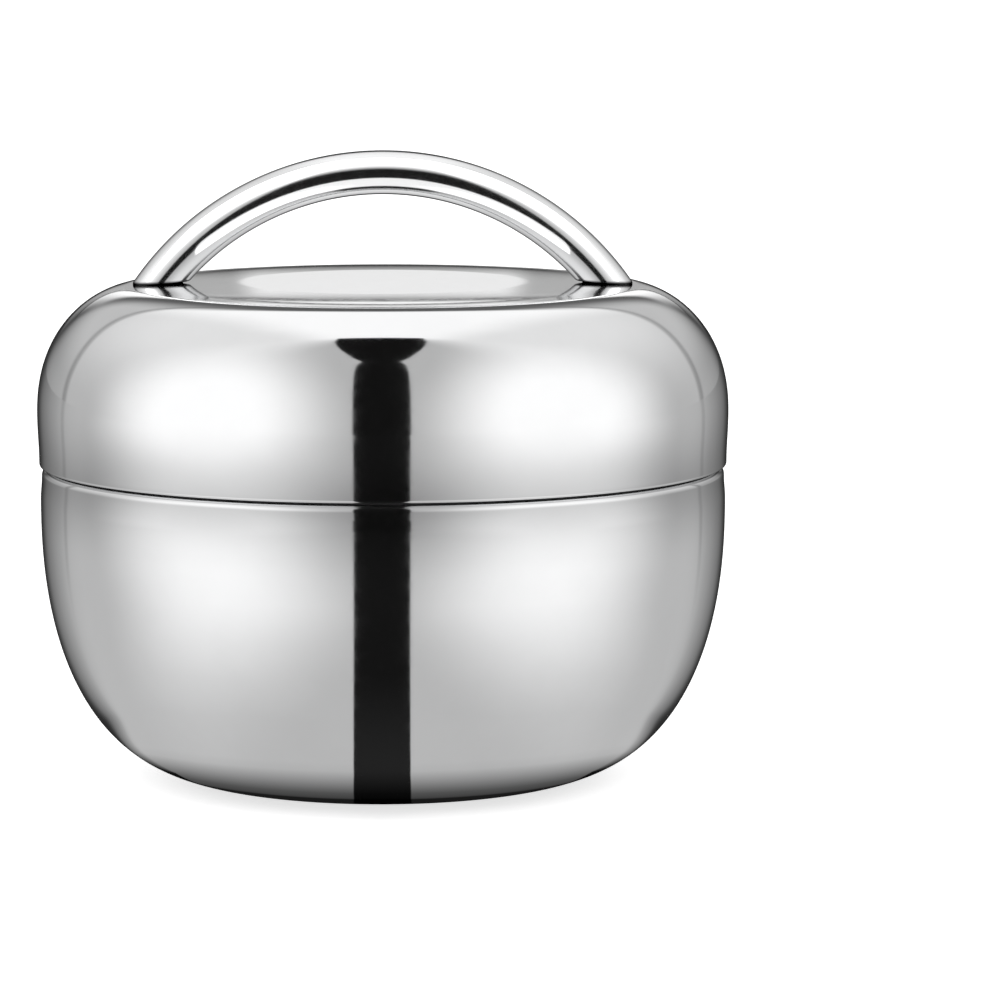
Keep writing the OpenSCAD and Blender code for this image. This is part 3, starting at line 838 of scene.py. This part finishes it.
def moulded(name, colour, shade, roughness, texture_mm=0.03, grain=1800, coat=0.0):
    """Moulded plastic: two near tones, fine texture and uneven gloss."""
    material, g, shader = new_material(name)
    shader["Coat Weight"].default_value = coat
    shader["IOR"].default_value = 1.49
    g.feed(shader["Base Color"], g.tint(g.rise(g.noise(45, 4), 0.3, 0.7), colour, shade))
    gloss = g.rise(g.noise(700, 4), 0.3, 0.7, roughness * 0.85, roughness * 1.15)
    g.feed(shader["Roughness"], gloss)
    g.feed(shader["Normal"], g.bump(g.noise(grain, 3, 0.6), texture_mm, 0.4))
    return material


def silicone(name, colour, shade):
    """Soft silicone with a bloom of dust and a little light under its skin."""
    material, g, shader = new_material(name)
    shader["Subsurface Weight"].default_value = 0.25
    shader["Subsurface Scale"].default_value = mm(1.5)
    shader["Sheen Weight"].default_value = 0.2
    g.feed(shader["Base Color"], g.tint(g.rise(g.noise(80, 5), 0.35, 0.7), colour, shade))
    g.feed(shader["Roughness"], g.rise(g.noise(500, 4), 0.3, 0.7, 0.42, 0.6))
    g.feed(shader["Normal"], g.bump(g.noise(2200, 2), 0.02, 0.3))
    return material


def foam(name):
    """Cut polyurethane foam: open cells, a little yellowed."""
    material, g, shader = new_material(name)
    shader["Sheen Weight"].default_value = 0.3
    cells = g.node("ShaderNodeTexVoronoi")
    cells.inputs["Scale"].default_value = 900
    g.feed(cells.inputs["Vector"], g.place())
    depth = cells.outputs["Distance"]
    colour = g.tint(g.rise(depth, 0, 0.6), (0.86, 0.8, 0.58, 1), (0.7, 0.6, 0.36, 1))
    g.feed(shader["Base Color"], colour)
    g.feed(shader["Normal"], g.bump(depth, 0.5, 0.8))
    g.feed(shader["Roughness"], g.rise(g.noise(300, 3), 0.3, 0.7, 0.85, 0.98))
    return material


def stand_for(obj, node, body):
    """A new piece in a CAD node's place, on its body and with its finish."""
    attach(obj, body)
    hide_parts(node)


def build_pieces():
    """The finer meshes, each in place of its CAD node."""
    body_steel = polished_steel("steel_body", seam=BODY_H, edge_r=ROLL_R)
    lid_steel = polished_steel("steel_lid", seam=LID_Z, edge_r=LID_ROLL_R)
    handle_steel = polished_steel("steel_handle", foot=True)
    bowl_steel = brushed_steel("steel_bowl", 0.78, 0.2, 1500)
    liner_plastic = moulded("plastic_liner", (0.82, 0.82, 0.8, 1), (0.78, 0.78, 0.75, 1), 0.4)
    body = lathe("body_shell_polished", wall(body_line(), -SHELL_T), body_steel)
    lid = lathe("lid_shell_polished", wall(lid_line(), SHELL_T), lid_steel)
    handle = handle_tube("handle_tube_polished", handle_steel)
    bowl = lathe("inner_bowl_brushed", bowl_wall(), bowl_steel)
    body_liner = lathe("body_liner_moulded", body_liner_wall(), liner_plastic)
    lid_liner = lathe("lid_liner_moulded", lid_liner_wall(), liner_plastic)
    stand_for(body, "body_shell", "body")
    stand_for(lid, "lid_shell", "lid")
    stand_for(handle, "handle_tube", "lid")
    stand_for(bowl, "inner_bowl", "bowl")
    stand_for(body_liner, "body_liner", "body")
    stand_for(lid_liner, "lid_liner", "lid")
    light_handle(handle)


def dress_nodes():
    """Better materials for the CAD nodes that stay."""
    fasteners = brushed_steel("steel_fastener", 0.62, 0.3, 2500)
    seals = silicone("silicone_seal", (0.8, 0.8, 0.78, 1), (0.72, 0.72, 0.69, 1))
    foams = foam("foam_cut")
    looks = {
        "rim_collar": moulded("plastic_collar", (0.03, 0.03, 0.032, 1), (0.045, 0.045, 0.047, 1),
                              0.55, texture_mm=0.05),
        "collar_gasket": moulded("rubber_gasket", (0.02, 0.02, 0.02, 1),
                                 (0.035, 0.034, 0.033, 1), 0.75, texture_mm=0.06, grain=900),
        "inner_lid": moulded("plastic_lid", (0.68, 0.79, 0.86, 1), (0.6, 0.73, 0.82, 1), 0.22,
                             texture_mm=0.01, grain=600, coat=0.3),
        "inner_lid_seal": seals,
        "lid_seal": seals,
        "vent_plug": silicone("silicone_vent", (0.2, 0.42, 0.62, 1), (0.15, 0.34, 0.54, 1)),
        "body_insulation": foams,
        "lid_insulation": foams,
        "handle_plugs": fasteners,
        "handle_washers": fasteners,
        "handle_lock_rings": fasteners,
        "handle_screws": fasteners,
    }
    for name, material in looks.items():
        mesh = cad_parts[name].data
        mesh.materials.clear()
        mesh.materials.append(material)


make_camera()
make_world()
make_floor()
make_lamp_top()
build_pieces()
dress_nodes()
bpy.context.scene.view_settings.view_transform = "Standard"
